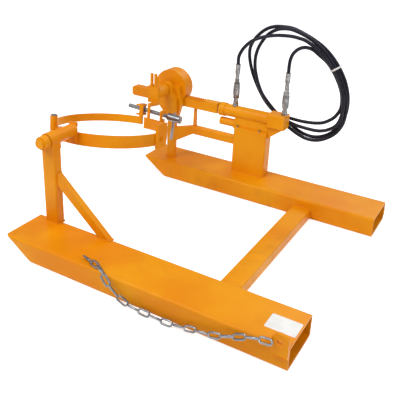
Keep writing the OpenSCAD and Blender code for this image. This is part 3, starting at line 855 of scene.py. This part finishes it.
def hoses(loops: Loops) -> list[Hose]:
    """Lists the two hoses with their given runs.

    A row of turns gives an angle in degrees, then the distances inward and across in
    millimetres.

    Args:
        loops: The oval that both are wound on.

    Returns:
        The hose of the head end and the hose of the cap end.
    """
    first = Hose(
        "hydraulic_hose_a", loops,
        start=[
            (-0.086, 0.600, 0.7245), (-0.086, 0.600, 0.7645), (-0.074, 0.608, 0.800),
            (-0.050, 0.616, 0.834), (-0.018, 0.626, 0.862), (0.036, 0.640, 0.886),
            (0.102, 0.651, 0.901), (0.172, 0.658, 0.906), (0.224, 0.661, 0.902)],
        turns=[
            (124, 22, 660), (106, 21, 659), (88, 19, 659), (70, 12, 659), (52, 5, 659),
            (36, 2, 660), (20, 0, 661), (6, 14, 662), (-9, 33, 662), (-27, 52, 662),
            (-46, 53, 662), (-63, 47, 662), (-79, 43, 663), (-100, 33, 665), (-113, 29, 666),
            (-125, 25, 667), (-136, 19, 668), (-148, 13, 670), (-160, 9, 672), (-172, 5, 672),
            (-184, -3, 672), (-198, -8, 672), (-212, -6, 673), (-225, 2, 675), (-238, 7, 677),
            (-251, 10, 678), (-264, 11, 678), (-275, 10, 678), (-286, 6, 678), (-298, 2, 678),
            (-310, -3, 678), (-322, -11, 678), (-337, -21, 678), (-351, -24, 676),
            (-364, -22, 672), (-376, -19, 668), (-388, -10, 666), (-400, 6, 666), (-412, 20, 666)],
        finish_run=[
            (0.170, 0.675, 0.4190), (0.126, 0.676, 0.4260), (0.089, 0.679, 0.4170),
            (0.062, 0.682, 0.3950), (0.047, 0.685, 0.3650), (0.042, 0.686, 0.3300),
            (0.042, 0.686, 0.2895)])
    second = Hose(
        "hydraulic_hose_b", loops,
        start=[
            (0.210, 0.600, 0.7245), (0.210, 0.600, 0.7645), (0.212, 0.605, 0.800),
            (0.221, 0.617, 0.830), (0.241, 0.637, 0.852), (0.269, 0.656, 0.860),
            (0.303, 0.672, 0.851)],
        turns=[
            (106, 44, 678), (94, 34, 676), (83, 30, 676), (69, 25, 676), (56, 19, 676),
            (44, 18, 676), (34, 23, 677), (21, 38, 679), (5, 58, 681), (-8, 72, 682),
            (-21, 80, 683), (-36, 79, 684), (-52, 68, 684), (-66, 48, 684), (-79, 27, 684),
            (-90, 20, 684), (-101, 16, 684), (-113, 9, 685), (-125, -3, 686), (-136, -18, 687),
            (-145, -32, 688), (-154, -41, 689), (-166, -39, 691), (-180, -34, 692),
            (-192, -26, 693), (-204, -14, 694), (-215, -7, 695), (-227, 3, 696), (-239, 6, 697),
            (-251, 4, 697), (-264, 2, 697), (-277, 0, 697), (-291, -4, 697), (-304, -7, 697),
            (-316, -9, 697), (-328, -10, 697), (-341, -11, 696), (-355, -10, 694),
            (-368, -8, 691), (-380, -4, 689), (-391, 6, 688), (-402, 19, 688), (-413, 31, 688)],
        finish_run=[
            (0.166, 0.697, 0.4150), (0.122, 0.697, 0.4270), (0.082, 0.696, 0.4280),
            (0.050, 0.694, 0.4180), (0.024, 0.692, 0.3970), (0.008, 0.690, 0.3680),
            (0.002, 0.690, 0.3340), (0.002, 0.690, 0.2895)])
    return [first, second]


@dataclass
class SafetyChain:
    """Long-link chain from the near eye along the pocket to its top; wire is a radius."""

    wire: float = 0.0045
    half_width: float = 0.0145
    pitch: float = 0.052
    bend_steps: int = 8
    wire_sides: int = 8
    samples: int = 10
    roll: float = 45.0
    look_ahead: int = 3
    look_back: int = 4
    route: tuple[Point, ...] = (
        (0.744, -0.706, 0.126), (0.708, -0.702, 0.120), (0.668, -0.700, 0.110),
        (0.628, -0.700, 0.096), (0.586, -0.700, 0.079), (0.548, -0.700, 0.063),
        (0.508, -0.700, 0.049), (0.459, -0.700, 0.041), (0.406, -0.699, 0.031),
        (0.352, -0.698, 0.020), (0.300, -0.698, 0.013), (0.243, -0.698, 0.013),
        (0.180, -0.697, 0.013), (0.122, -0.696, 0.015), (0.076, -0.697, 0.030),
        (0.040, -0.698, 0.055), (0.008, -0.698, 0.082), (-0.016, -0.694, 0.106),
        (-0.042, -0.680, 0.122), (-0.075, -0.662, 0.120), (-0.108, -0.650, 0.116),
        (-0.140, -0.640, 0.116), (-0.172, -0.630, 0.116))

    def link(self, middle: Vector, along: Vector, side: Vector) -> tuple[list[Vector], list[Face]]:
        """Makes one long link.

        Args:
            middle: Centre of the link.
            along: Direction of its length.
            side: Direction of its width.

        Returns:
            Vertices and faces.
        """
        bend = self.half_width - self.wire
        straight = self.pitch / 2 - bend
        line = []
        for end in (1, -1):
            for k in range(self.bend_steps + 1):
                a = math.radians(-90 + 180 * k / self.bend_steps) * end
                line.append(middle + along * (end * (straight + bend * math.cos(a)))
                            + side * (bend * math.sin(a)))
        section = circle_outline(self.wire, self.wire_sides)
        return sweep(line, [section] * len(line), along.cross(side), closed=True)

    def build(self) -> bpy.types.Object:
        """Strings the links along the route, each a quarter turn from the last.

        Returns:
            The chain.
        """
        line = smooth_line(list(self.route), self.samples)
        walked = [0.0]
        for a, b in zip(line, line[1:]):
            walked.append(walked[-1] + (b - a).length)
        count = int(walked[-1] / self.pitch)
        pile = Pile()
        for k in range(count):
            target = (k + 0.5) * walked[-1] / count
            i = next(j for j in range(1, len(walked)) if walked[j] >= target)
            share = (target - walked[i - 1]) / (walked[i] - walked[i - 1])
            middle = line[i - 1].lerp(line[i], share)
            ahead = line[min(i + self.look_ahead, len(line) - 1)]
            along = (ahead - line[max(i - self.look_back, 0)]).normalized()
            first = along.cross(Vector((0, 0, 1))).normalized()
            second = along.cross(first).normalized()
            lean = math.radians(self.roll if k % 2 else -self.roll)
            pile.add(*self.link(middle, along, first * math.cos(lean) + second * math.sin(lean)))
        made = pile.piece("safety_chain_links", ZINC_PLATE, Body.FRAME)
        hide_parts("safety_chain")
        return made


# ---------------------------------------------------------------- welds


@dataclass
class WeldSeams:
    """Rippled weld beads along the joints of one body."""

    name: str
    body: Body
    seams: list[tuple[list[Vector], float]] = field(default_factory=list)
    ring_gap: float = 0.00175
    bead_sides: int = 8
    ripple_rings: float = 2.7
    ripple_rise: float = 0.10
    wander_step: float = 0.31
    wander_rise: float = 0.07
    wander_shift: float = 1.7
    end_size: float = 0.6
    up: Point = (0.31, 0.17, 0.94)

    def seam(self, points: list[Point], radius: float = 0.004) -> None:
        """Adds a bead of a mean radius that runs through points."""
        self.seams.append(([Vector(p) for p in points], radius))

    def outlines(self, count: int, radius: float, number: int) -> list[Outline]:
        """Makes a bead's sections, which swell and shrink along it.

        Args:
            count: Number of sections.
            radius: Mean radius of the bead.
            number: Number of the bead, so that no two are alike.

        Returns:
            The sections.
        """
        made = []
        for k in range(count):
            ripple = math.sin(2 * math.pi * k / self.ripple_rings + number)
            wander = math.sin(k * self.wander_step + number * self.wander_shift)
            size = radius * (1 + self.ripple_rise * ripple + self.wander_rise * wander)
            if k in (0, count - 1):
                size *= self.end_size
            made.append(circle_outline(size, self.bead_sides))
        return made

    def build(self) -> bpy.types.Object:
        """Makes all beads of the body as one piece.

        Returns:
            The piece.
        """
        pile = Pile()
        for number, (points, radius) in enumerate(self.seams):
            line = []
            for a, b in zip(points, points[1:]):
                count = max(2, round((b - a).length / self.ring_gap))
                line += [a.lerp(b, k / count) for k in range(count)]
            line.append(points[-1])
            pile.add(*sweep(line, self.outlines(len(line), radius, number), Vector(self.up)))
        return pile.piece(self.name, WELD_PAINT, self.body)


@dataclass
class FrameWelds:
    """Seams of the frame weldment, from its sizes in metres."""

    pocket_top: float = 0.104
    near_post: Footprint = (-0.5375, -0.4625, -0.478, -0.428)
    far_post: Footprint = (-0.482, -0.430, 0.506, 0.540)
    cylinder_post: Footprint = (-0.070, 0.130, 0.562, 0.638)
    foot_corner: float = 0.005
    foot_bead: float = 0.0045
    brace_sides: Span = (-0.466, -0.436)
    brace_foot: Span = (-0.2225, -0.1625)
    brace_head: Span = (0.309, 0.369)
    inner_side: float = 0.440
    cross: Span = (0.370, 0.470)
    cross_low: float = 0.006
    cross_top: float = 0.060
    cross_corner: float = 0.008
    cross_bead: float = 0.005
    lug_back: tuple[Point, Point] = ((0.732, -0.677, 0.066), (0.732, -0.677, 0.096))
    lug_foot: tuple[Point, Point] = ((0.736, -0.690, 0.062), (0.796, -0.690, 0.062))
    lug_bead: float = 0.0035

    def foot(self, welds: WeldSeams, post: Footprint) -> None:
        """Runs a seam round a post's foot.

        Args:
            welds: Seams to add to.
            post: The post's lowest and highest X, then Y.
        """
        x0, x1, y0, y1 = post
        c = self.foot_corner
        corners = ((x0 + c, y0), (x1 - c, y0), (x1, y0 + c), (x1, y1 - c), (x1 - c, y1),
                   (x0 + c, y1), (x0, y1 - c), (x0, y0 + c), (x0 + c, y0))
        welds.seam([(x, y, self.pocket_top) for x, y in corners], self.foot_bead)

    def brace(self, welds: WeldSeams) -> None:
        """Runs the seams at the brace's foot and at its head.

        Args:
            welds: Seams to add to.
        """
        z, post = self.pocket_top, self.near_post[1]
        (foot_0, foot_1), (head_0, head_1) = self.brace_foot, self.brace_head
        for y in self.brace_sides:
            welds.seam([(foot_0, y, z), (foot_1, y, z)])
            welds.seam([(post, y, head_0), (post, y, head_1)])
        welds.seam([(foot_1, y, z) for y in self.brace_sides])
        welds.seam([(post, y, head_1) for y in self.brace_sides])

    def build(self) -> bpy.types.Object:
        """Makes the frame's beads.

        Returns:
            The piece.
        """
        welds = WeldSeams("frame_welds", Body.FRAME)
        for post in (self.near_post, self.far_post, self.cylinder_post):
            self.foot(welds, post)
        self.brace(welds)
        x0, x1 = self.cross
        top, c = self.cross_top, self.cross_corner
        for y in (-self.inner_side, self.inner_side):
            welds.seam([(x0, y, self.cross_low), (x0, y, top - c), (x0 + c, y, top),
                        (x1 - c, y, top), (x1, y, top - c), (x1, y, self.cross_low)],
                       self.cross_bead)
        welds.seam(list(self.lug_back))
        welds.seam(list(self.lug_foot), self.lug_bead)
        return welds.build()


@dataclass(frozen=True)
class RingBead:
    """Upright bead on the outside of the ring, placed about the ring's centre."""

    x: float
    side: int
    low: float
    high: float
    radius: float


@dataclass
class CradleWelds:
    """Seams between the ring and what is welded to it."""

    ring: RingFrame
    outer: float = 0.295
    beads: tuple[RingBead, ...] = (
        RingBead(-0.015, -1, -0.048, -0.001, 0.0035), RingBead(0.027, -1, -0.048, -0.001, 0.0035),
        RingBead(0.024, 1, -0.056, -0.002, 0.0035), RingBead(0.040, 1, -0.056, -0.002, 0.0035),
        RingBead(0.124, 1, -0.054, -0.002, 0.003), RingBead(0.136, 1, -0.054, -0.002, 0.003))

    def build(self) -> bpy.types.Object:
        """Makes the cradle's beads.

        Returns:
            The piece.
        """
        welds = WeldSeams("cradle_welds", Body.CRADLE)
        place = self.ring.matrix()
        for bead in self.beads:
            y = bead.side * math.sqrt(self.outer ** 2 - bead.x ** 2)
            welds.seam([place @ Vector((bead.x, y, z)) for z in (bead.low, bead.high)],
                       bead.radius)
        return welds.build()


# ---------------------------------------------------------------- screw, label and tie


@dataclass
class ThreadedScrew:
    """Clamp screw with its rolled thread."""

    ring: RingFrame
    radius: float = 0.012
    depth: float = 0.0013
    pitch: float = 0.0045
    tip: float = -0.124
    end: float = 0.228
    swivel: Point = (-0.028, 0.326, 0.037)
    dip: float = 5.6
    sides: int = 28
    rows_a_turn: int = 6
    lead_rows: int = 3
    lead_drop: float = 0.0008

    def build(self) -> bpy.types.Object:
        """Makes the thread as one skin along the screw.

        Returns:
            The screw.
        """
        sides = self.sides
        rows = round((self.end - self.tip) / (self.pitch / self.rows_a_turn))
        place = (self.ring.matrix() @ Matrix.Translation(self.swivel)
                 @ Matrix.Rotation(math.radians(self.dip), 4, "Y"))
        verts, faces = [], []
        for i in range(rows + 1):
            x = self.tip + (self.end - self.tip) * i / rows
            for k in range(sides):
                turn = k / sides
                r = self.radius - self.depth * abs(((x / self.pitch - turn) % 1.0) * 2 - 1)
                if i < self.lead_rows:
                    r = min(r, self.radius - self.lead_drop * (self.lead_rows - i))
                a = 2 * math.pi * turn
                verts.append(place @ Vector((x - self.swivel[0], r * math.cos(a),
                                             r * math.sin(a))))
        for i in range(rows):
            row, after = i * sides, (i + 1) * sides
            for k in range(sides):
                w = (k + 1) % sides
                faces.append((row + k, row + w, after + w, after + k))
        faces.append(tuple(range(sides)))
        faces.append(tuple(range(rows * sides, (rows + 1) * sides)))
        made = Pile(verts, faces).piece("threaded_clamp_screw", ZINC_PLATE, Body.SCREW)
        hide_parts("clamp_screw")
        return made


@dataclass
class BlankLabel:
    """Bare foil on the near pocket, with nothing printed on it."""

    low: Span = (0.669, -0.610)
    high: Span = (0.794, -0.522)
    top: float = 0.104
    thick: float = 0.0006
    corner: float = 0.006
    corner_steps: int = 6
    layers: tuple[Span, ...] = ((1.0, 0.0), (1.0, 1.0), (0.97, 1.25), (0.5, 1.0))

    def outline(self) -> Outline:
        """Draws the label's edge with its round corners.

        Returns:
            The points of the edge.
        """
        (x0, y0), (x1, y1), c = self.low, self.high, self.corner
        line = []
        for x, y, start in ((x1 - c, y1 - c, 0), (x0 + c, y1 - c, 90), (x0 + c, y0 + c, 180),
                            (x1 - c, y0 + c, 270)):
            for k in range(self.corner_steps + 1):
                a = math.radians(start + 90 * k / self.corner_steps)
                line.append((x + c * math.cos(a), y + c * math.sin(a)))
        return line

    def build(self) -> bpy.types.Object:
        """Makes the label as layers of its edge, lifted a little just inside it.

        Returns:
            The label.
        """
        edge = self.outline()
        n, last = len(edge), len(self.layers) - 1
        cx, cy = ((a + b) / 2 for a, b in zip(self.low, self.high))
        verts = [Vector((cx + (x - cx) * shrink, cy + (y - cy) * shrink,
                         self.top + self.thick * rise))
                 for shrink, rise in self.layers for x, y in edge]
        faces = [(r * n + k, r * n + (k + 1) % n, (r + 1) * n + (k + 1) % n, (r + 1) * n + k)
                 for r in range(last) for k in range(n)]
        faces += [tuple(range(n)), tuple(range(last * n, (last + 1) * n))]
        pile = Pile(verts, faces)
        return pile.piece("blank_label", BLANK_FOIL, Body.FRAME, smooth=False)


@dataclass
class CableTie:
    """White tie drawn round the bundle of hoses."""

    loops: Loops
    angle: float = 83.0
    inward: float = 12.0
    across: float = 679.0
    half_wide: float = 0.0295
    half_deep: float = 0.0275
    squareness: float = 0.7
    sides: int = 36
    half_width: float = 0.0045
    half_thick: float = 0.0012
    lock_stand: float = 0.004
    lock_half: Span = (0.006, 0.005)
    lock_steps: tuple[Span, ...] = ((-0.006, 0.8), (-0.004, 1.0), (0.004, 1.0), (0.006, 0.8))

    def build(self) -> bpy.types.Object:
        """Makes the strap and its lock.

        Returns:
            The tie.
        """
        along = Vector(self.loops.heading(self.angle)).normalized()
        middle = Vector(self.loops.place(self.angle, self.inward, self.across))
        deep = Vector((0, 1, 0))
        wide = along.cross(deep).normalized()
        line = []
        for k in range(self.sides):
            a = 2 * math.pi * k / self.sides
            c, s = (math.copysign(abs(v) ** self.squareness, v) for v in (math.cos(a), math.sin(a)))
            line.append(middle + wide * self.half_wide * c + deep * self.half_deep * s)
        pile = Pile()
        strap = self.box(self.half_thick, self.half_width)
        pile.add(*sweep(line, [strap] * len(line), along, closed=True))
        lock = middle - deep * (self.half_deep + self.lock_stand)
        run = [lock + wide * step for step, _ in self.lock_steps]
        sections = [self.box(*(half * size for half in self.lock_half))
                    for _, size in self.lock_steps]
        pile.add(*sweep(run, sections, along))
        return pile.piece("hose_tie", WHITE_NYLON, Body.FRAME)

    def box(self, half_side: float, half_up: float) -> Outline:
        """Returns the corners of a four-sided section from its half sizes."""
        return [(a * half_side, b * half_up) for a, b in ((-1, -1), (1, -1), (1, 1), (-1, 1))]


@dataclass
class Dresser:
    """Puts the finishes on the CAD nodes."""

    frame: dict

    def build(self) -> int:
        """Gives each node its own finish, or else the one of its slot.

        Returns:
            Number of nodes dressed.
        """
        parts = self.frame["record"]["subparts"]
        for part in parts:
            node = self.frame["nodes"][part["node"]]
            of_slot = FINISH_OF_SLOT[Slot(part["material_slot"])]
            material = FINISH_OF_NODE.get(part["node"], of_slot).material()
            if not node.material_slots:
                node.data.materials.append(material)
            for held in node.material_slots:
                held.material = material
        return len(parts)


def main() -> None:
    """Builds the scene, piece by piece."""
    logging.basicConfig(level=logging.INFO, format="%(message)s")
    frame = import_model()
    Studio().build()
    LOG.info("studio ready")
    loops, ring = Loops(), RingFrame()
    first, second = hoses(loops)
    first.build(("hose_a", "hose_coil"), "hose_couplings")
    second.build(("hose_b", "hose_tails"), "hose_couplings")
    LOG.info("made %s", SafetyChain().build().name)
    LOG.info("dressed %d CAD nodes", Dresser(frame).build())
    for maker in (FrameWelds(), CradleWelds(ring), ThreadedScrew(ring), BlankLabel(),
                  CableTie(loops)):
        LOG.info("made %s", maker.build().name)


if __name__ == "__main__":
    main()
